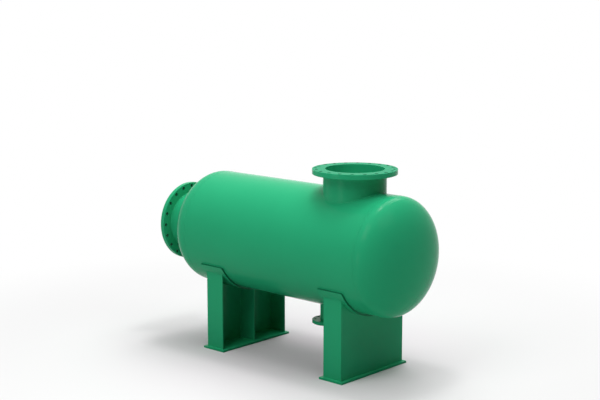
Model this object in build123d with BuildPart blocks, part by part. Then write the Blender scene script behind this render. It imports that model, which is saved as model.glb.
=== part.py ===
from build123d import *

import os
from math import sqrt

os.makedirs("parts", exist_ok=True)

# A horizontal settling vessel on two saddles, with a nozzle on top, one of the same size in
# the far head and a drain underneath. Sizes are in millimetres. X runs along the vessel from
# the outlet to the closed head, Y runs across it and Z up. The floor is Z = 0, and X = 0 is
# halfway along the whole length.

# Shell and dished heads
shell_diameter = 868.0
shell_wall = 10.0
tangent_length = 1730.0  # between the two lines where the heads begin to curve
axis_height = 886.0
head_wall = 10.0
head_ratio = 2.0  # inside radius of a head over its inside depth
head_skirt = 25.0  # straight part of a head, between its curve and its girth seam

# Inlet and outlet: plate flanges on the same pipe
pipe_diameter = 457.0
pipe_wall = 14.2
flange_diameter = 615.0
flange_thickness = 36.0
bolt_circle = 565.0
bolt_hole = 26.0
bolt_count = 20
nozzle_reach = 158.0  # from the outside of the vessel to a flange's face
inlet_from_tangent = 365.0
outlet_pipe_inside = 18.0  # how far the outlet pipe stands into the vessel

# Drain
drain_pipe_diameter = 114.3
drain_pipe_wall = 6.3
drain_flange_diameter = 235.0
drain_flange_thickness = 26.0
drain_bolt_circle = 190.0
drain_bolt_hole = 22.0
drain_bolt_count = 8
drain_reach = 150.0
drain_from_inlet = 250.0

# Saddles
saddle_from_tangent = 189.0  # tangent line to the outer face of the web
saddle_depth = 165.0  # outer face of the web to the free edges of the ribs
saddle_width = 696.0
web_thickness = 12.0
rib_thickness = 10.0
base_thickness = 15.0
base_margin_along = 25.0
base_margin_across = 20.0
wear_plate_thickness = 15.0
wear_plate_margin = 35.0
wear_plate_wrap = 120.0  # degrees round the shell
wear_plate_corner = 15.0

# Strainer round the outlet
strainer_diameter = 406.4
strainer_wall = 4.0
strainer_ring_thickness = 10.0
strainer_end_thickness = 6.0
strainer_to_inlet = 100.0  # from the strainer's end to the inlet pipe
mesh_thickness = 1.5
opening_diameter = 100.0
openings_around = 8
opening_rows = 5
cradle_thickness = 10.0
cradle_width = 240.0
cradle_from_end = 90.0

# Fits and edges
seat_gap = 0.3  # between curved faces that lie on one another
rim_chamfer = 2.0

# Places that follow from the sizes
shell_radius = shell_diameter / 2
shell_bore_radius = shell_radius - shell_wall
head_bore_radius = shell_radius - head_wall
head_depth = head_bore_radius / head_ratio
head_height = head_depth + head_wall
outlet_face_x = -(nozzle_reach + 2 * head_height + tangent_length) / 2
outlet_tangent_x = outlet_face_x + nozzle_reach + head_height
closed_tangent_x = outlet_tangent_x + tangent_length
outlet_seam_x = outlet_tangent_x + head_skirt
closed_seam_x = closed_tangent_x - head_skirt
vessel_axis = Axis((0, 0, axis_height), (1, 0, 0))

pipe_radius = pipe_diameter / 2
pipe_bore_radius = pipe_radius - pipe_wall
inlet_x = closed_tangent_x - inlet_from_tangent
inlet_face = Plane((inlet_x, 0, axis_height + shell_radius + nozzle_reach))
outlet_face = Plane((outlet_face_x, 0, axis_height), x_dir=(0, 1, 0), z_dir=(-1, 0, 0))
drain_x = inlet_x - drain_from_inlet
drain_face = Plane(
    (drain_x, 0, axis_height - shell_radius - drain_reach), x_dir=(1, 0, 0), z_dir=(0, 0, -1)
)

wear_plate_inner = shell_radius + seat_gap
wear_plate_outer = wear_plate_inner + wear_plate_thickness
saddle_seat_radius = wear_plate_outer + seat_gap


def write_piece(piece, name):
    """Labels a finished piece and writes it under its name."""
    piece.label = name
    export_step(piece, f"parts/{name}.step")


# Shell course
with BuildPart() as shell_course:
    with BuildSketch(Plane.YZ.offset(outlet_seam_x)):
        with Locations((0, axis_height)):
            Circle(shell_radius)
            Circle(shell_bore_radius, mode=Mode.SUBTRACT)
    extrude(amount=closed_seam_x - outlet_seam_x)
    with Locations((inlet_x, 0, axis_height)):
        Cylinder(
            pipe_radius + seat_gap,
            shell_radius,
            align=(Align.CENTER, Align.CENTER, Align.MIN),
            mode=Mode.SUBTRACT,
        )
    with Locations((drain_x, 0, axis_height)):
        Cylinder(
            drain_pipe_diameter / 2 + seat_gap,
            shell_radius,
            align=(Align.CENTER, Align.CENTER, Align.MAX),
            mode=Mode.SUBTRACT,
        )
write_piece(shell_course.part, "shell_course")


def dished_head(start):
    """A whole head: it grows along x of the plane that lies on its tangent line."""
    with BuildPart() as head:
        with BuildSketch(start):
            with BuildLine():
                inside = EllipticalCenterArc((0, 0), head_depth, head_bore_radius, 0)
                outside = EllipticalCenterArc((0, 0), head_height, shell_radius, 0)
                Line(inside @ 0, outside @ 0)
                Polyline(
                    inside @ 1,
                    (-head_skirt, head_bore_radius),
                    (-head_skirt, shell_radius),
                    outside @ 1,
                )
            make_face()
        revolve(axis=vessel_axis)
    return head.part


# Closed head
closed_tangent = Plane((closed_tangent_x, 0, axis_height), x_dir=(1, 0, 0), z_dir=(0, -1, 0))
closed_head = dished_head(closed_tangent)
write_piece(closed_head, "closed_head")

# Outlet head, bored in the middle for its pipe
outlet_tangent = Plane((outlet_tangent_x, 0, axis_height), x_dir=(-1, 0, 0), z_dir=(0, 1, 0))
with BuildPart() as outlet_head:
    add(dished_head(outlet_tangent))
    with Locations((outlet_tangent_x - head_height, 0, axis_height)):
        Cylinder(
            pipe_radius + seat_gap, 2 * head_height, rotation=(0, 90, 0), mode=Mode.SUBTRACT
        )
write_piece(outlet_head.part, "outlet_head")

# Inlet neck: its foot is cut flush with the inside of the shell
with BuildPart() as inlet_neck:
    with BuildSketch(inlet_face):
        Circle(pipe_radius)
        Circle(pipe_bore_radius, mode=Mode.SUBTRACT)
    extrude(amount=-(nozzle_reach + shell_radius))
    with Locations((inlet_x, 0, axis_height)):
        Cylinder(
            shell_bore_radius, 2 * pipe_diameter, rotation=(0, 90, 0), mode=Mode.SUBTRACT
        )
write_piece(inlet_neck.part, "inlet_neck")

# Outlet neck: a plain pipe through the head, as far in as the strainer's ring
pipe_entry_depth = head_depth * sqrt(1 - (pipe_radius / head_bore_radius) ** 2)
outlet_pipe_end_x = outlet_tangent_x - pipe_entry_depth + outlet_pipe_inside
with BuildPart() as outlet_neck:
    with BuildSketch(outlet_face):
        Circle(pipe_radius)
        Circle(pipe_bore_radius, mode=Mode.SUBTRACT)
    extrude(amount=-(outlet_pipe_end_x - outlet_face_x))
write_piece(outlet_neck.part, "outlet_neck")

# Drain neck
with BuildPart() as drain_neck:
    with BuildSketch(drain_face):
        Circle(drain_pipe_diameter / 2)
        Circle(drain_pipe_diameter / 2 - drain_pipe_wall, mode=Mode.SUBTRACT)
    extrude(amount=-(drain_reach + shell_radius))
    with Locations((drain_x, 0, axis_height)):
        Cylinder(
            shell_bore_radius, 2 * drain_pipe_diameter, rotation=(0, 90, 0), mode=Mode.SUBTRACT
        )
write_piece(drain_neck.part, "drain_neck")


def plate_flange(face, diameter, thickness, pipe, circle, hole, count):
    """A flat ring round a pipe's end, with its joint face on the given plane."""
    with BuildPart() as flange:
        with BuildSketch(face):
            Circle(diameter / 2)
            Circle(pipe / 2 + seat_gap, mode=Mode.SUBTRACT)
            with PolarLocations(circle / 2, count):
                Circle(hole / 2, mode=Mode.SUBTRACT)
        extrude(amount=-thickness)
        rims = flange.edges().filter_by(GeomType.CIRCLE).group_by(SortBy.RADIUS)[-1]
        chamfer(rims, rim_chamfer)
    return flange.part


# Flanges: one bolt hole of each lies on each centre line
for name, face in (("inlet_flange", inlet_face), ("outlet_flange", outlet_face)):
    main_flange = plate_flange(
        face,
        flange_diameter,
        flange_thickness,
        pipe_diameter,
        bolt_circle,
        bolt_hole,
        bolt_count,
    )
    write_piece(main_flange, name)
drain_flange = plate_flange(
    drain_face,
    drain_flange_diameter,
    drain_flange_thickness,
    drain_pipe_diameter,
    drain_bolt_circle,
    drain_bolt_hole,
    drain_bolt_count,
)
write_piece(drain_flange, "drain_flange")

# Saddles: a web on the outer side, three ribs towards the middle of the vessel, a base plate
# under both and a curved wear plate between them and the shell
saddles = (
    ("outlet", outlet_tangent_x + saddle_from_tangent, 1),
    ("closed", closed_tangent_x - saddle_from_tangent, -1),
)
rib_offset = (saddle_width - rib_thickness) / 2
rib_places = (("near", -rib_offset), ("centre", 0), ("far", rib_offset))
rib_depth = saddle_depth - web_thickness
for end, web_face_x, inward in saddles:
    saddle_middle_x = web_face_x + inward * saddle_depth / 2
    with BuildPart() as wear_plate:
        wear_plate_length = saddle_depth + 2 * wear_plate_margin
        with BuildSketch(Plane.YZ.offset(saddle_middle_x - wear_plate_length / 2)):
            with BuildLine():
                start_angle = 270 - wear_plate_wrap / 2
                centre = (0, axis_height)
                inner = CenterArc(centre, wear_plate_inner, start_angle, wear_plate_wrap)
                outer = CenterArc(centre, wear_plate_outer, start_angle, wear_plate_wrap)
                Line(inner @ 0, outer @ 0)
                Line(inner @ 1, outer @ 1)
            make_face()
        extrude(amount=wear_plate_length)
        corners = wear_plate.edges().filter_by(GeomType.LINE).filter_by(Axis.X, reverse=True)
        fillet(corners, wear_plate_corner)
    write_piece(wear_plate.part, f"{end}_wear_plate")

    with BuildPart() as web:
        with BuildSketch(Plane.YZ.offset(web_face_x)):
            with Locations((0, base_thickness)):
                Rectangle(
                    saddle_width,
                    axis_height - base_thickness,
                    align=(Align.CENTER, Align.MIN),
                )
            with Locations((0, axis_height)):
                Circle(saddle_seat_radius, mode=Mode.SUBTRACT)
        extrude(amount=inward * web_thickness)
    write_piece(web.part, f"{end}_saddle_web")

    rib_middle_x = web_face_x + inward * (web_thickness + rib_depth / 2)
    for side, rib_y in rib_places:
        with BuildPart() as rib:
            with BuildSketch(Plane.XY.offset(base_thickness)):
                with Locations((rib_middle_x, rib_y)):
                    Rectangle(rib_depth, rib_thickness)
            extrude(amount=axis_height - base_thickness)
            with Locations((rib_middle_x, 0, axis_height)):
                Cylinder(
                    saddle_seat_radius, 2 * rib_depth, rotation=(0, 90, 0), mode=Mode.SUBTRACT
                )
        write_piece(rib.part, f"{end}_rib_{side}")

    with BuildPart() as base_plate:
        with Locations((saddle_middle_x, 0, 0)):
            Box(
                saddle_depth + 2 * base_margin_along,
                saddle_width + 2 * base_margin_across,
                base_thickness,
                align=(Align.CENTER, Align.CENTER, Align.MIN),
            )
    write_piece(base_plate.part, f"{end}_base_plate")

# Strainer ring, on the inner end of the outlet pipe
strainer_radius = strainer_diameter / 2
strainer_bore_radius = strainer_radius - strainer_wall
with BuildPart() as strainer_ring:
    with BuildSketch(Plane.YZ.offset(outlet_pipe_end_x)):
        with Locations((0, axis_height)):
            Circle(pipe_radius)
            Circle(strainer_bore_radius, mode=Mode.SUBTRACT)
    extrude(amount=strainer_ring_thickness)
write_piece(strainer_ring.part, "strainer_ring")

# Strainer tube: rows of round openings, every second row turned by half a pitch
strainer_start_x = outlet_pipe_end_x + strainer_ring_thickness
strainer_end_x = inlet_x - pipe_radius - strainer_to_inlet - strainer_end_thickness
row_pitch = (strainer_end_x - strainer_start_x) / opening_rows
opening_pitch = 360 / openings_around
opening_places = [
    Location(
        (strainer_start_x + (row + 0.5) * row_pitch, 0, axis_height),
        ((column + 0.5 * (row % 2)) * opening_pitch, 0, 0),
    )
    for row in range(opening_rows)
    for column in range(openings_around)
]
with BuildPart() as strainer_tube:
    with BuildSketch(Plane.YZ.offset(strainer_start_x)):
        with Locations((0, axis_height)):
            Circle(strainer_radius)
            Circle(strainer_bore_radius, mode=Mode.SUBTRACT)
    extrude(amount=strainer_end_x - strainer_start_x)
    with Locations(*opening_places):
        Cylinder(
            opening_diameter / 2,
            strainer_diameter,
            align=(Align.CENTER, Align.CENTER, Align.MIN),
            mode=Mode.SUBTRACT,
        )
write_piece(strainer_tube.part, "strainer_tube")

# Strainer mesh: a sleeve slipped over the tube
mesh_inner = strainer_radius + seat_gap
mesh_outer = mesh_inner + mesh_thickness
with BuildPart() as strainer_mesh:
    with BuildSketch(Plane.YZ.offset(strainer_start_x)):
        with Locations((0, axis_height)):
            Circle(mesh_outer)
            Circle(mesh_inner, mode=Mode.SUBTRACT)
    extrude(amount=strainer_end_x - strainer_start_x)
write_piece(strainer_mesh.part, "strainer_mesh")

# Strainer end plate: covers the free ends of the tube and the mesh
with BuildPart() as strainer_end_plate:
    with BuildSketch(Plane.YZ.offset(strainer_end_x)):
        with Locations((0, axis_height)):
            Circle(mesh_outer)
    extrude(amount=strainer_end_thickness)
write_piece(strainer_end_plate.part, "strainer_end_plate")

# Strainer cradle: stands on the shell's floor under the tube's free end
with BuildPart() as strainer_cradle:
    with BuildSketch(Plane.YZ.offset(strainer_end_x - cradle_from_end - cradle_thickness)):
        with Locations((0, axis_height)):
            Circle(shell_bore_radius - seat_gap)
            Rectangle(
                cradle_width,
                shell_radius,
                align=(Align.CENTER, Align.MAX),
                mode=Mode.INTERSECT,
            )
            Circle(mesh_outer + seat_gap, mode=Mode.SUBTRACT)
    extrude(amount=cradle_thickness)
write_piece(strainer_cradle.part, "strainer_cradle")
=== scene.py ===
from math import asin, cos, isclose, pi, radians, sin, sqrt, tau

import bpy
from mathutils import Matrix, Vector


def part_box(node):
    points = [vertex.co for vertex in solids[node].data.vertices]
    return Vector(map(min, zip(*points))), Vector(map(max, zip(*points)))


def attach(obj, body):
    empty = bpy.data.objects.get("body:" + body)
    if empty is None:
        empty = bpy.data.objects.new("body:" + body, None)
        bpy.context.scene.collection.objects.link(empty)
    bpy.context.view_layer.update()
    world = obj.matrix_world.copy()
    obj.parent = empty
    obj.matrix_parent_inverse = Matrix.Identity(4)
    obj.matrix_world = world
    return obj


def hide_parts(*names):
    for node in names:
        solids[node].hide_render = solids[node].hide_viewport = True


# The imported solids: a horizontal vessel on two saddles that parts dirt from flowing water.
# They are all of the object's form. What follows gives them their paint, their welds and the
# strainer's wires.
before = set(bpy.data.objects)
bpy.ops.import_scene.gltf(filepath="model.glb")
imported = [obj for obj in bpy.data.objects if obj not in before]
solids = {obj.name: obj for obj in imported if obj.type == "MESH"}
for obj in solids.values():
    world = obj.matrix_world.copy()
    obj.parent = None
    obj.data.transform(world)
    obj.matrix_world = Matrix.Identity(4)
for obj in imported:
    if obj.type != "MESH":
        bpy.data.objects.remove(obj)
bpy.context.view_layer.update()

# Camera. It stands low, off the closed end, and looks back along the vessel's near side
# through a long lens.
camera_turn = 0.7393
camera_dip = 0.1721
camera_data = bpy.data.cameras.new("camera")
camera_data.sensor_width = 36
camera_data.lens = 78.39
camera = bpy.data.objects.new("camera", camera_data)
camera.location = (6.5016, -7.0777, 2.8523)
camera.rotation_euler = (pi / 2 - camera_dip, 0, camera_turn)
bpy.context.collection.objects.link(camera)
bpy.context.scene.camera = camera
bpy.context.scene.view_settings.view_transform = "Standard"

# Studio floor. A pale, matt floor that keeps the vessel's soft shadow and turns to plain white
# further out, so that it has no edge in the picture. Close to the vessel it throws little light
# back, and what is seen of it leans to pink, which turns the vessel's green light on it to grey.
floor_drop = 0.0004
floor_reach = 60.0
floor_near_until = 0.3
floor_far_from = 1.6
floor_white_from = 1.0
floor_white_at = 4.0
floor_near_light = (0.20, 0.20, 0.20, 1)
floor_far_light = (0.65, 0.65, 0.65, 1)
floor_near_colour = (0.76, 0.70, 0.74, 1)
floor_far_colour = (0.71, 0.71, 0.71, 1)
white = (1, 1, 1, 1)


def socket_maker(tree):
    """Gives a short way to make a node in the tree. Each input is set, or linked to a socket, by
    its name with _ for a space, or by its number, as in i0."""

    def make(kind, settings=None, **inputs):
        node = tree.nodes.new(kind)
        for name, value in (settings or {}).items():
            setattr(node, name, value)
        for name, value in inputs.items():
            numbered = name[0] == "i" and name[1:].isdigit()
            key = int(name[1:]) if numbered else name.replace("_", " ")
            if isinstance(value, bpy.types.NodeSocket):
                tree.links.new(value, node.inputs[key])
            else:
                node.inputs[key].default_value = value
        return node

    return make


def emptied(owner):
    """Clears the nodes of a material or a world and gives the maker of its new ones."""
    owner.use_nodes = True
    owner.node_tree.nodes.clear()
    return socket_maker(owner.node_tree)


def reckon(make, operation, *values):
    """The result of one sum on numbers."""
    inputs = {f"i{number}": value for number, value in enumerate(values)}
    return make("ShaderNodeMath", {"operation": operation}, **inputs).outputs[0]


def reckon_vector(make, operation, *values):
    """The result of one sum on places or directions. A length or a dot product is a number."""
    inputs = {f"i{number}": value for number, value in enumerate(values)}
    node = make("ShaderNodeVectorMath", {"operation": operation}, **inputs)
    return node.outputs["Value" if operation in ("LENGTH", "DOT_PRODUCT") else "Vector"]


def blend(make, share, first, second):
    """The first colour where the share is 0, turning to the second where it is 1."""
    mix = make("ShaderNodeMix", {"data_type": "RGBA"}, i0=share, i6=first, i7=second)
    return mix.outputs[2]


def in_view(make):
    """1 on what the camera sees, straight, in a reflection or through glass, and 0 on light."""
    path = make("ShaderNodeLightPath").outputs
    mirrored = reckon(make, "MAXIMUM", path["Is Camera Ray"], path["Is Glossy Ray"])
    return reckon(make, "MAXIMUM", mirrored, path["Is Transmission Ray"])


floor_mesh = bpy.data.meshes.new("floor")
floor_corners = [
    (side_x * floor_reach, side_y * floor_reach, -floor_drop)
    for side_x, side_y in ((-1, -1), (1, -1), (1, 1), (-1, 1))
]
floor_mesh.from_pydata(floor_corners, [], [(0, 1, 2, 3)])
floor = bpy.data.objects.new("floor", floor_mesh)
bpy.context.collection.objects.link(floor)

floor_material = bpy.data.materials.new("pale_floor")
make = emptied(floor_material)
seen = in_view(make)
place = make("ShaderNodeTexCoord").outputs["Object"]
distance = reckon_vector(make, "LENGTH", place)
whiteness = make(
    "ShaderNodeMapRange",
    {"interpolation_type": "SMOOTHSTEP"},
    Value=distance,
    From_Min=floor_white_from,
    From_Max=floor_white_at,
)
farness = make(
    "ShaderNodeMapRange", Value=distance, From_Min=floor_near_until, From_Max=floor_far_from
)
seen_colour = blend(make, farness.outputs["Result"], floor_near_colour, floor_far_colour)
light_colour = blend(make, farness.outputs["Result"], floor_near_light, floor_far_light)
matt = make("ShaderNodeBsdfDiffuse", Color=blend(make, seen, light_colour, seen_colour))
plain_white = make("ShaderNodeEmission", Color=white, Strength=1.0)
surface = make(
    "ShaderNodeMixShader",
    i0=reckon(make, "MULTIPLY", seen, whiteness.outputs["Result"]),
    i1=matt.outputs[0],
    i2=plain_white.outputs[0],
)
make("ShaderNodeOutputMaterial", Surface=surface.outputs[0])
floor_mesh.materials.append(floor_material)

# Studio light. A white dome, bright overhead and dark towards the floor, fills the shadows. Soft
# lamps give the rest: the key high behind the vessel, two wide ones high in front and beyond its
# closed end, a small one for the highlight on that end, and a low one for the shell's lower half.
sky_strength = 2.1
sky_dark_below = 0.67
world = bpy.data.worlds.new("studio")
make = emptied(world)
sky = make("ShaderNodeTexCoord").outputs["Generated"]
sky_height = make("ShaderNodeSeparateXYZ", Vector=sky).outputs["Z"]
glow = make(
    "ShaderNodeMapRange",
    {"interpolation_type": "SMOOTHSTEP"},
    Value=sky_height,
    From_Min=sky_dark_below,
    To_Max=sky_strength,
)
dome = make("ShaderNodeBackground", Color=white, Strength=glow.outputs["Result"])
backdrop = make("ShaderNodeBackground", Color=white, Strength=1.0)
light = make(
    "ShaderNodeMixShader", i0=in_view(make), i1=dome.outputs[0], i2=backdrop.outputs[0]
)
make("ShaderNodeOutputWorld", Surface=light.outputs[0])
bpy.context.scene.world = world
lamps_aim = Vector((0, 0, 0.8))


def soft_lamp(name, place, width, power):
    """A square lamp that faces the middle of the vessel."""
    data = bpy.data.lights.new(name, "AREA")
    data.shape = "SQUARE"
    data.size = width
    data.energy = power
    lamp = bpy.data.objects.new(name, data)
    lamp.location = place
    way = lamps_aim - lamp.location
    lamp.rotation_euler = way.to_track_quat("-Z", "Y").to_euler()
    lamp.visible_camera = False
    bpy.context.collection.objects.link(lamp)


soft_lamp("key_lamp", place=(-1.0, 2.5, 5.5), width=3.4, power=163)
soft_lamp("front_lamp", place=(0.2, -4.1, 5.3), width=3.0, power=118)
soft_lamp("end_lamp", place=(4.0, 0.0, 5.3), width=3.0, power=42)
soft_lamp("highlight_lamp", place=(0.1, 0.3, 5.6), width=0.8, power=50)
soft_lamp("low_lamp", place=(-0.6, -5.7, 1.1), width=2.0, power=29)

# Shell course. Steel plate, 10 mm thick, rolled to a cylinder and closed by one long seam on the
# far side, high enough to stay clear of the saddles. The whole vessel wears one coat of green
# spray paint.
low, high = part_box("shell_course")
shell_radius = (high.y - low.y) / 2
axis_z = (high.z + low.z) / 2
seam_x = (low.x, high.x)
dark_green = (0.018, 0.350, 0.158, 1)
light_green = (0.021, 0.390, 0.176, 1)
paint_smoothest = 0.15
paint_roughest = 0.21
paint_shine = 0.05


def painted(name, changed=None):
    """Spray paint, uneven in tone, with a fine swell. Where a piece wears it otherwise in some
    places, changed(make, place, outwards, tone, roughness) gives its own tone and roughness."""
    material = bpy.data.materials.new(name)
    make = emptied(material)
    place = make("ShaderNodeTexCoord").outputs["Object"]
    outwards = make("ShaderNodeNewGeometry").outputs["Normal"]
    clouds = make("ShaderNodeTexNoise", Vector=place, Scale=2.3, Detail=3.0, Roughness=0.55)
    tone = blend(make, clouds.outputs["Fac"], dark_green, light_green)
    mist = make("ShaderNodeTexNoise", Vector=place, Scale=16.0, Detail=2.0, Roughness=0.5)
    gloss = make(
        "ShaderNodeMapRange",
        Value=mist.outputs["Fac"],
        To_Min=paint_smoothest,
        To_Max=paint_roughest,
    )
    roughness = gloss.outputs["Result"]
    if changed:
        tone, roughness = changed(make, place, outwards, tone, roughness)
    swell = make("ShaderNodeTexNoise", Vector=place, Scale=260.0, Detail=1.5, Roughness=0.5)
    relief = make(
        "ShaderNodeBump", Strength=0.25, Distance=0.0002, Height=swell.outputs["Fac"]
    )
    shader = make(
        "ShaderNodeBsdfPrincipled",
        Base_Color=tone,
        Roughness=roughness,
        Specular_IOR_Level=paint_shine,
        Normal=relief.outputs["Normal"],
    )
    make("ShaderNodeOutputMaterial", Surface=shader.outputs[0])
    return material


green_paint = painted("green_spray_paint")


def paint(*names, finish=green_paint):
    """Gives the named solids their paint, the plain one where no other is given."""
    for name in names:
        solids[name].material_slots[0].material = finish


def form_tree(name, inputs, output):
    """A new geometry tree with named inputs, and the identifier of each of them."""
    tree = bpy.data.node_groups.new(name, "GeometryNodeTree")
    identifiers = {}
    for label, kind in inputs.items():
        item = tree.interface.new_socket(
            label, in_out="INPUT", socket_type=f"NodeSocket{kind}"
        )
        identifiers[label] = item.identifier
    tree.interface.new_socket(output, in_out="OUTPUT", socket_type="NodeSocketGeometry")
    return tree, identifiers


def weld_bead_tree():
    """A weld bead along a path. Each point of the path says which way the bead faces. Across, it
    is a flattened wedge of a disc, and along, its size swells and shrinks in ripples."""
    inputs = {
        "Path": "Geometry",
        "Leg": "Float",
        "Flatness": "Float",
        "Half Angle": "Float",
        "Ripple Pitch": "Float",
        "Ripple Depth": "Float",
        "Finish": "Material",
    }
    tree, identifiers = form_tree("weld_bead", inputs, "Bead")
    make = socket_maker(tree)
    given = make("NodeGroupInput").outputs
    line = make("GeometryNodeMeshToCurve", Mesh=given["Path"])
    facing = make(
        "GeometryNodeInputNamedAttribute", {"data_type": "FLOAT_VECTOR"}, Name="facing"
    )
    turned = make(
        "GeometryNodeSetCurveNormal",
        {"mode": "FREE"},
        Curve=line.outputs[0],
        Normal=facing.outputs[0],
    )
    along = make("GeometryNodeSplineParameter").outputs["Length"]
    ripples = reckon(make, "DIVIDE", along, given["Ripple Pitch"])
    wave = reckon(make, "SINE", reckon(make, "MULTIPLY", ripples, tau))
    swell = reckon(make, "MULTIPLY_ADD", wave, given["Ripple Depth"], 1.0)
    rippled = make("GeometryNodeSetCurveRadius", Curve=turned.outputs[0], Radius=swell)
    wedge = make(
        "GeometryNodeCurveArc",
        {"mode": "RADIUS"},
        Resolution=6,
        Radius=given["Leg"],
        Start_Angle=reckon(make, "MULTIPLY", given["Half Angle"], -1),
        Sweep_Angle=reckon(make, "MULTIPLY", given["Half Angle"], 2),
        Connect_Center=True,
    )
    squash = make("ShaderNodeCombineXYZ", X=given["Flatness"], Y=1.0, Z=1.0)
    section = make(
        "GeometryNodeTransform", Geometry=wedge.outputs[0], Scale=squash.outputs[0]
    )
    bead = make(
        "GeometryNodeCurveToMesh",
        Curve=rippled.outputs[0],
        Profile_Curve=section.outputs[0],
        Fill_Caps=True,
    )
    smooth = make("GeometryNodeSetShadeSmooth", Geometry=bead.outputs[0])
    real = make("GeometryNodeRealizeInstances", Geometry=smooth.outputs[0])
    finished = make(
        "GeometryNodeSetMaterial", Geometry=real.outputs[0], Material=given["Finish"]
    )
    make("NodeGroupOutput", Bead=finished.outputs[0])
    return tree, identifiers


weld_bead = weld_bead_tree()
ripple_pitch = 0.008
ripple_depth = 0.07
ripple_steps = 3
fillet = dict(flatness=0.8, half_angle=radians(80))
cap = dict(flatness=0.07, half_angle=radians(90))


def plain_mesh(name, mesh, form, **inputs):
    """One piece: what a geometry tree makes of a mesh, kept as a plain mesh. The form is a tree
    with its identifiers, and its inputs go by name with _ for a space."""
    tree, identifiers = form
    piece = bpy.data.objects.new(name, mesh)
    modifier = piece.modifiers.new("form", "NODES")
    modifier.node_group = tree
    for label, value in inputs.items():
        modifier[identifiers[label.replace("_", " ")]] = value
    bpy.context.collection.objects.link(piece)
    bpy.context.view_layer.update()
    evaluated = piece.evaluated_get(bpy.context.evaluated_depsgraph_get())
    result = bpy.data.meshes.new_from_object(evaluated)
    piece.modifiers.remove(modifier)
    piece.data = result
    return piece


def weld(name, runs, leg, shape, finish=green_paint):
    """One piece of weld metal. Each run is (points, the way each faces, True for a ring)."""
    points = []
    facing = []
    edges = []
    for run_points, run_facing, ring in runs:
        first = len(points)
        last = first + len(run_points) - 1
        points += run_points
        facing += run_facing
        edges += [(i, i + 1) for i in range(first, last)]
        if ring:
            edges.append((last, first))
    mesh = bpy.data.meshes.new(name)
    mesh.from_pydata(points, edges, [])
    attribute = mesh.attributes.new("facing", "FLOAT_VECTOR", "POINT")
    for item, way in zip(attribute.data, facing):
        item.vector = way
    piece = plain_mesh(
        name,
        mesh,
        weld_bead,
        Leg=leg,
        Flatness=shape["flatness"],
        Half_Angle=shape["half_angle"],
        Ripple_Pitch=ripple_pitch,
        Ripple_Depth=ripple_depth,
        Finish=finish,
    )
    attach(piece, "root")
    return piece


def straight_run(start, end, facing):
    """A run of weld between two points, facing one way."""
    start, end = Vector(start), Vector(end)
    count = max(2, round((end - start).length * ripple_steps / ripple_pitch))
    points = [start.lerp(end, i / count) for i in range(count + 1)]
    return points, [Vector(facing).normalized()] * (count + 1), False


def curved_run(place, facing, start, end, length):
    """A run of weld along place(angle), from one angle to another, a ring if it comes round."""
    ring = isclose(abs(end - start), tau)
    count = round(length * ripple_steps / ripple_pitch)
    stops = range(count if ring else count + 1)
    angles = [start + (end - start) * i / count for i in stops]
    points = [Vector(place(angle)) for angle in angles]
    return points, [Vector(facing(angle)).normalized() for angle in angles], ring


def on_shell(x, angle, radius=shell_radius):
    """A place round the vessel's axis. The angle is taken from straight up, towards +Y."""
    return Vector((x, radius * sin(angle), axis_z + radius * cos(angle)))


def off_axis(angle):
    """The way straight out from the vessel's axis at that angle."""
    return Vector((0, sin(angle), cos(angle)))


long_seam_angle = radians(55)
seam_half_width = 0.008
paint("shell_course")
long_seam = straight_run(
    on_shell(seam_x[0], long_seam_angle),
    on_shell(seam_x[1], long_seam_angle),
    off_axis(long_seam_angle),
)
weld("weld_long_seam", [long_seam], seam_half_width, cap)

# Dished heads. Two plates pressed to ellipsoidal heads, each with a short straight skirt, and
# joined to the shell by girth seams: a low cap of weld all the way round.
head_skirt = 0.025
head_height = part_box("closed_head")[1].x - seam_x[1] - head_skirt
paint("closed_head", "outlet_head")
for end, x in zip(("outlet", "closed"), seam_x):
    girth = curved_run(lambda a: on_shell(x, a), off_axis, 0, tau, tau * shell_radius)
    weld(f"weld_girth_{end}", [girth], seam_half_width, cap)

# Inlet. A pipe stub that stands on the shell over a saddle-shaped fillet weld, with a plate
# flange slipped over its end, welded behind and sealed flush on the joint face. Its paint is
# darker and matt on the turned joint face; the bolt holes get painted shade and the bore a
# painted light.
low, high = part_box("inlet_neck")
pipe_radius = (high.x - low.x) / 2
inlet_x = (high.x + low.x) / 2
inlet_face_z = high.z
inlet_back_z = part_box("inlet_flange")[0].z
pipe_wall = 0.0142
pipe_bore_radius = pipe_radius - pipe_wall
flange_bolt_radius = 0.2825
flange_hole_radius = 0.013
nozzle_leg = 0.005
seal_leg = 0.004
seal_rise = 0.0005
seal = dict(flatness=seal_rise / seal_leg, half_angle=radians(90))
joint_green = (0.014, 0.26, 0.125, 1)
joint_roughness = 0.5
joint_faces_out_from = 0.9
# Painted shade: the walls of the bolt holes are coloured darker.
hole_painted_shade = (0.009, 0.21, 0.1, 1)
hole_faces_out_below = 0.1
# Painted light: the wall of the bore is coloured paler.
bore_painted_light = (0.025, 0.52, 0.24, 1)
hole_and_bore_slack = 0.001


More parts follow.
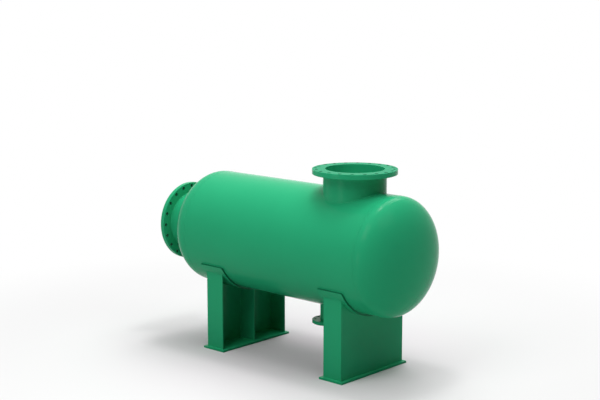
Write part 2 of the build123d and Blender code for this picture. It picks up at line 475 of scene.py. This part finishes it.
def nozzle_paint(name, centre, way_out, bolt_radius, hole_radius, bore_radius):
    """The paint of a nozzle. The centre is a point on its axis, and the radii are those of its
    bolt circle, bolt holes and bore."""

    def changed(make, place, outwards, tone, roughness):
        ahead = reckon_vector(make, "DOT_PRODUCT", outwards, way_out)
        on_joint = reckon(make, "GREATER_THAN", ahead, joint_faces_out_from)
        upright = reckon(make, "ABSOLUTE", ahead)
        sideways = reckon(make, "LESS_THAN", upright, hole_faces_out_below)
        from_centre = reckon_vector(make, "SUBTRACT", place, centre)
        around = reckon_vector(make, "CROSS_PRODUCT", from_centre, way_out)
        reach = reckon_vector(make, "LENGTH", around)
        hole_reach = hole_radius + hole_and_bore_slack
        at_bolts = reckon(make, "COMPARE", reach, bolt_radius, hole_reach)
        in_hole = reckon(make, "MULTIPLY", at_bolts, sideways)
        in_bore = reckon(make, "LESS_THAN", reach, bore_radius + hole_and_bore_slack)
        tone = blend(make, on_joint, tone, joint_green)
        # Painted shade on the bolt-hole walls.
        tone = blend(make, in_hole, tone, hole_painted_shade)
        # Painted light on the wall of the bore.
        tone = blend(make, in_bore, tone, bore_painted_light)
        matt = make("ShaderNodeMix", i0=on_joint, i2=roughness, i3=joint_roughness)
        return tone, matt.outputs[0]

    return painted(name, changed)


def upright_ring(x, z, radius, facing):
    """A ring of weld round an upright pipe that crosses the vessel's axis at x."""
    return curved_run(
        lambda a: Vector((x + radius * cos(a), radius * sin(a), z)),
        facing,
        0,
        tau,
        tau * radius,
    )


def stub_foot(x, radius, side):
    """The weld where an upright pipe meets the shell, above (side 1) or below it (side -1)."""

    def rise(angle):
        return side * sqrt(shell_radius**2 - (radius * sin(angle)) ** 2)

    def place(angle):
        return Vector((x + radius * cos(angle), radius * sin(angle), axis_z + rise(angle)))

    def facing(angle):
        out_of_shell = Vector((0, radius * sin(angle), rise(angle))) / shell_radius
        return out_of_shell + Vector((cos(angle), sin(angle), 0))

    return curved_run(place, facing, 0, tau, tau * radius)


inlet_paint = nozzle_paint(
    "green_inlet_paint",
    centre=(inlet_x, 0, 0),
    way_out=(0, 0, 1),
    bolt_radius=flange_bolt_radius,
    hole_radius=flange_hole_radius,
    bore_radius=pipe_bore_radius,
)
paint("inlet_neck", "inlet_flange", finish=inlet_paint)
behind_inlet = upright_ring(
    inlet_x, inlet_back_z, pipe_radius, lambda a: Vector((cos(a), sin(a), -1))
)
inlet_welds = [stub_foot(inlet_x, pipe_radius, 1), behind_inlet]
weld("weld_inlet", inlet_welds, nozzle_leg, fillet)
inlet_seal = upright_ring(
    inlet_x, inlet_face_z - seal_rise, pipe_radius, lambda a: Vector((0, 0, 1))
)
weld("weld_inlet_seal", [inlet_seal], seal_leg, seal)

# Outlet. The same pipe and flange on the vessel's axis, welded round the hole in the far head.
# The pipe runs on into the vessel and carries the strainer there.
outlet_face_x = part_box("outlet_neck")[0].x
outlet_back_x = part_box("outlet_flange")[1].x
head_rise = head_height * sqrt(1 - (pipe_radius / shell_radius) ** 2)
outlet_foot_x = seam_x[0] - head_skirt - head_rise
head_slope = Vector((-head_rise / head_height**2, 0, pipe_radius / shell_radius**2))
head_slope.normalize()


def ring_round_axis(x, radius, out, along):
    """A ring of weld round the vessel's axis that faces partly outwards and partly along it."""
    return curved_run(
        lambda a: on_shell(x, a, radius),
        lambda a: off_axis(a) * out + Vector((along, 0, 0)),
        0,
        tau,
        tau * radius,
    )


outlet_paint = nozzle_paint(
    "green_outlet_paint",
    centre=(0, 0, axis_z),
    way_out=(-1, 0, 0),
    bolt_radius=flange_bolt_radius,
    hole_radius=flange_hole_radius,
    bore_radius=pipe_bore_radius,
)
paint("outlet_neck", "outlet_flange", finish=outlet_paint)
outlet_welds = [
    ring_round_axis(outlet_foot_x, pipe_radius, 1 + head_slope.z, head_slope.x),
    ring_round_axis(outlet_back_x, pipe_radius, 1, 1),
]
weld("weld_outlet", outlet_welds, nozzle_leg, fillet)
outlet_seal = ring_round_axis(outlet_face_x + seal_rise, pipe_radius, 0, -1)
weld("weld_outlet_seal", [outlet_seal], seal_leg, seal)

# Drain. A thin pipe under the shell between the saddles, ending in a small plate flange that
# takes a drain valve.
low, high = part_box("drain_neck")
drain_radius = (high.x - low.x) / 2
drain_x = (high.x + low.x) / 2
drain_back_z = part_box("drain_flange")[1].z
drain_wall = 0.0063
drain_bolt_radius = 0.095
drain_hole_radius = 0.011
drain_leg = 0.004
drain_paint = nozzle_paint(
    "green_drain_paint",
    centre=(drain_x, 0, 0),
    way_out=(0, 0, -1),
    bolt_radius=drain_bolt_radius,
    hole_radius=drain_hole_radius,
    bore_radius=drain_radius - drain_wall,
)
paint("drain_neck", "drain_flange", finish=drain_paint)
behind_drain = upright_ring(
    drain_x, drain_back_z, drain_radius, lambda a: Vector((cos(a), sin(a), 1))
)
drain_welds = [stub_foot(drain_x, drain_radius, -1), behind_drain]
weld("weld_drain", drain_welds, drain_leg, fillet)

# Wear plates. A curved pad of 15 mm plate spreads each saddle's load on the shell. It has
# rounded corners and a thin fillet weld all round its edge, and its cut edges are painted
# darker: painted shade for the crease where the pad stands on the shell.
pad_corner = 0.015
pad_corner_steps = 6
pad_leg = 0.002
# Painted shade: the colour of the plates' cut edges.
rim_shade_green = (0.008, 0.17, 0.078, 1)
rim_faces_out_below = 0.6


def painted_rim_shade(make, place, outwards, tone, roughness):
    """Paints shade on the faces that look along the plate, neither out from the vessel nor in to
    it.
    """
    from_axis = reckon_vector(make, "SUBTRACT", place, (0, 0, axis_z))
    across = reckon_vector(make, "MULTIPLY", from_axis, (0, 1, 1))
    radial = reckon_vector(make, "NORMALIZE", across)
    facing = reckon_vector(make, "DOT_PRODUCT", outwards, radial)
    on_rim = reckon(make, "LESS_THAN", reckon(make, "ABSOLUTE", facing), rim_faces_out_below)
    return blend(make, on_rim, tone, rim_shade_green), roughness


def pad_edge(end):
    """The ring of weld round a pad, first laid out flat and then wrapped round the shell."""
    low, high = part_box(f"{end}_wear_plate")
    outer_radius = axis_z - low.z
    half_length = (high.x - low.x) / 2
    half_arc = asin(high.y / outer_radius) * shell_radius
    flat = []
    corners = ((1, 1), (-1, 1), (-1, -1), (1, -1))
    for quarter, (side_x, side_s) in enumerate(corners):
        centre = Vector((side_x * (half_length - pad_corner), side_s * (half_arc - pad_corner)))
        for i in range(pad_corner_steps + 1):
            turn = (quarter + i / pad_corner_steps) * pi / 2
            out = Vector((cos(turn), sin(turn)))
            flat.append((centre + pad_corner * out, out))
        next_x, next_s = corners[(quarter + 1) % 4]
        ahead = Vector((next_x * (half_length - pad_corner), next_s * (half_arc - pad_corner)))
        count = round((ahead - centre).length * ripple_steps / ripple_pitch)
        for i in range(1, count):
            flat.append((centre.lerp(ahead, i / count) + pad_corner * out, out))
    points = []
    facing = []
    for place, out in flat:
        angle = pi - place.y / shell_radius
        uphill = Vector((0, -cos(angle), sin(angle)))
        points.append(on_shell((low.x + high.x) / 2 + place.x, angle))
        facing.append((off_axis(angle) + Vector((out.x, 0, 0)) + uphill * out.y).normalized())
    return points, facing, True


pad_paint = painted("green_pad_paint", painted_rim_shade)
for end in ("outlet", "closed"):
    paint(f"{end}_wear_plate", finish=pad_paint)
    weld(f"weld_{end}_wear_plate", [pad_edge(end)], pad_leg, fillet)

# Saddles. Each is a web across the vessel with three ribs behind it, cut from plate, on a flat
# base. Fillet welds run along every joint: plate to plate, to the base and to the wear plate.
saddle_leg = 0.004
rib_sides = ("near", "centre", "far")


def saddle_welds(end, inward):
    """All weld runs of one saddle. Inward is 1 or -1, from the web towards its ribs."""
    web_low, web_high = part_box(f"{end}_saddle_web")
    outer_x, inner_x = (web_low.x, web_high.x) if inward > 0 else (web_high.x, web_low.x)
    base_z = web_low.z
    pad_radius = axis_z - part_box(f"{end}_wear_plate")[0].z
    along = Vector((inward, 0, 0))

    def pad_angle(y):
        return pi - asin(y / pad_radius)

    def pad_z(y):
        return axis_z - sqrt(pad_radius**2 - y**2)

    def on_base(x, start_y, end_y, way):
        return straight_run((x, start_y, base_z), (x, end_y, base_z), way)

    def under_pad(x, start_y, end_y, way):
        length = abs(pad_angle(end_y) - pad_angle(start_y)) * pad_radius
        return curved_run(
            lambda a: on_shell(x, a, pad_radius),
            lambda a: off_axis(a) + way,
            pad_angle(start_y),
            pad_angle(end_y),
            length,
        )

    runs = [
        on_base(outer_x, web_low.y, web_high.y, (-inward, 0, 1)),
        under_pad(outer_x, web_low.y, web_high.y, -along),
    ]
    ribs = [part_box(f"{end}_rib_{side}") for side in rib_sides]
    for (_, first_high), (next_low, _) in zip(ribs, ribs[1:]):
        start_y, end_y = first_high.y, next_low.y
        runs.append(on_base(inner_x, start_y, end_y, (inward, 0, 1)))
        runs.append(under_pad(inner_x, start_y, end_y, along))
        for y, side in ((start_y, 1), (end_y, -1)):
            runs.append(
                straight_run((inner_x, y, base_z), (inner_x, y, pad_z(y)), (inward, side, 0))
            )
    for rib_low, rib_high in ribs:
        free_x = rib_high.x if inward > 0 else rib_low.x
        for y, side in ((rib_low.y, -1), (rib_high.y, 1)):
            runs.append(
                straight_run((inner_x, y, base_z), (free_x, y, base_z), (0, side, 1))
            )
            way = off_axis(pad_angle(y)) + Vector((0, side, 0))
            runs.append(straight_run((inner_x, y, pad_z(y)), (free_x, y, pad_z(y)), way))
    return runs


for end, inward in (("outlet", 1), ("closed", -1)):
    paint(f"{end}_saddle_web", f"{end}_base_plate")
    paint(*(f"{end}_rib_{side}" for side in rib_sides))
    weld(f"weld_{end}_saddle", saddle_welds(end, inward), saddle_leg, fillet)

# Strainer frame. A ring on the inner end of the outlet pipe, a tube cut full of round holes, an
# end plate and a cradle on the shell's floor, all of pickled stainless sheet.
dark_steel = (0.50, 0.49, 0.47, 1)
light_steel = (0.66, 0.65, 0.63, 1)
steel_smoothest = 0.30
steel_roughest = 0.46
scratch_scale = (40.0, 900.0, 900.0)


def pickled():
    """Dull stainless steel: cloudy from the acid bath, finely scratched from handling."""
    material = bpy.data.materials.new("pickled_stainless")
    make = emptied(material)
    place = make("ShaderNodeTexCoord").outputs["Object"]
    clouds = make("ShaderNodeTexNoise", Vector=place, Scale=9.0, Detail=4.0, Roughness=0.6)
    gloss = make(
        "ShaderNodeMapRange",
        Value=clouds.outputs["Fac"],
        To_Min=steel_smoothest,
        To_Max=steel_roughest,
    )
    stretched = make("ShaderNodeMapping", Vector=place, Scale=scratch_scale)
    scratches = make("ShaderNodeTexNoise", Vector=stretched.outputs[0], Scale=1.0, Detail=2.0)
    relief = make(
        "ShaderNodeBump", Strength=0.3, Distance=0.0001, Height=scratches.outputs["Fac"]
    )
    shader = make(
        "ShaderNodeBsdfPrincipled",
        Base_Color=blend(make, clouds.outputs["Fac"], dark_steel, light_steel),
        Metallic=1.0,
        Roughness=gloss.outputs["Result"],
        Normal=relief.outputs["Normal"],
    )
    make("ShaderNodeOutputMaterial", Surface=shader.outputs[0])
    return material


stainless = pickled()
for part in ("ring", "tube", "end_plate", "cradle"):
    solids[f"strainer_{part}"].material_slots[0].material = stainless
tube_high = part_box("strainer_tube")[1]
ring_low, ring_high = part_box("strainer_ring")
cradle_low, cradle_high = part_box("strainer_cradle")
tube_wall = 0.004
tube_bore_radius = tube_high.y - tube_wall
shell_plate = 0.010
shell_bore_radius = shell_radius - shell_plate
strainer_leg = 0.003


def cradle_foot(x, along):
    """The weld between one face of the cradle and the floor of the shell."""
    reach = asin(cradle_high.y / shell_bore_radius)
    return curved_run(
        lambda a: on_shell(x, a, shell_bore_radius),
        lambda a: Vector((along, 0, 0)) - off_axis(a),
        pi - reach,
        pi + reach,
        2 * reach * shell_bore_radius,
    )


strainer_welds = [
    ring_round_axis(ring_low.x, pipe_bore_radius, -1, -1),
    ring_round_axis(ring_high.x, tube_bore_radius, -1, 1),
    cradle_foot(cradle_low.x, -1),
    cradle_foot(cradle_high.x, 1),
]
weld("weld_strainer", strainer_welds, strainer_leg, fillet, stainless)

# Strainer mesh. A sleeve of stainless wire round the tube: long straight wires under close
# hoops, fused where they cross.
mesh_low, mesh_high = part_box("strainer_mesh")
sleeve_length = mesh_high.x - mesh_low.x
sleeve_radius = (mesh_high.y - mesh_low.y) / 2
wire = 0.00075
wire_pitch = 0.006
wire_sides = 4
hoop_sides = 72


def wire_sleeve_tree():
    """Hoops along X over straight wires, both evenly spaced."""
    inputs = {
        "Base": "Geometry",
        "Start": "Float",
        "Length": "Float",
        "Height": "Float",
        "Radius": "Float",
        "Wire": "Float",
        "Hoops": "Int",
        "Straights": "Int",
        "Finish": "Material",
    }
    tree, identifiers = form_tree("wire_sleeve", inputs, "Sleeve")
    make = socket_maker(tree)
    given = make("NodeGroupInput").outputs
    half_wire = reckon(make, "MULTIPLY", given["Wire"], 0.5)
    section = make("GeometryNodeCurvePrimitiveCircle", Resolution=wire_sides, Radius=half_wire)
    hoop_radius = reckon(make, "SUBTRACT", given["Radius"], half_wire)
    hoop_path = make(
        "GeometryNodeCurvePrimitiveCircle", Resolution=hoop_sides, Radius=hoop_radius
    )
    hoop = make(
        "GeometryNodeCurveToMesh", Curve=hoop_path.outputs[0], Profile_Curve=section.outputs[0]
    )
    gaps = reckon(make, "SUBTRACT", given["Hoops"], 1.0)
    room = reckon(make, "SUBTRACT", given["Length"], given["Wire"])
    step = make("ShaderNodeCombineXYZ", X=reckon(make, "DIVIDE", room, gaps))
    row = make("GeometryNodeMeshLine", Count=given["Hoops"], Offset=step.outputs[0])
    hoops = make(
        "GeometryNodeInstanceOnPoints",
        Points=row.outputs[0],
        Instance=hoop.outputs[0],
        Rotation=(0, pi / 2, 0),
    )
    first_x = reckon(make, "ADD", given["Start"], half_wire)
    hoops_place = make("ShaderNodeCombineXYZ", X=first_x, Z=given["Height"])
    placed_hoops = make(
        "GeometryNodeTransform", Geometry=hoops.outputs[0], Translation=hoops_place.outputs[0]
    )
    straight_end = make("ShaderNodeCombineXYZ", X=given["Length"])
    straight_path = make("GeometryNodeCurvePrimitiveLine", End=straight_end.outputs[0])
    straight = make(
        "GeometryNodeCurveToMesh",
        Curve=straight_path.outputs[0],
        Profile_Curve=section.outputs[0],
        Fill_Caps=True,
    )
    straight_radius = reckon(make, "SUBTRACT", hoop_radius, given["Wire"])
    round_path = make(
        "GeometryNodeMeshCircle", Vertices=given["Straights"], Radius=straight_radius
    )
    upright = make(
        "GeometryNodeTransform", Geometry=round_path.outputs[0], Rotation=(0, pi / 2, 0)
    )
    straights = make(
        "GeometryNodeInstanceOnPoints", Points=upright.outputs[0], Instance=straight.outputs[0]
    )
    straights_place = make("ShaderNodeCombineXYZ", X=given["Start"], Z=given["Height"])
    placed_straights = make(
        "GeometryNodeTransform",
        Geometry=straights.outputs[0],
        Translation=straights_place.outputs[0],
    )
    both = make("GeometryNodeJoinGeometry")
    for wires in (placed_hoops, placed_straights):
        tree.links.new(wires.outputs[0], both.inputs[0])
    real = make("GeometryNodeRealizeInstances", Geometry=both.outputs[0])
    finished = make(
        "GeometryNodeSetMaterial", Geometry=real.outputs[0], Material=given["Finish"]
    )
    make("NodeGroupOutput", Sleeve=finished.outputs[0])
    return tree, identifiers


sleeve = plain_mesh(
    "wire_sleeve",
    bpy.data.meshes.new("wire_sleeve"),
    wire_sleeve_tree(),
    Start=mesh_low.x,
    Length=sleeve_length,
    Height=axis_z,
    Radius=sleeve_radius,
    Wire=wire,
    Hoops=round(sleeve_length / wire_pitch),
    Straights=round(tau * sleeve_radius / wire_pitch),
    Finish=stainless,
)
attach(sleeve, "root")
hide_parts("strainer_mesh")
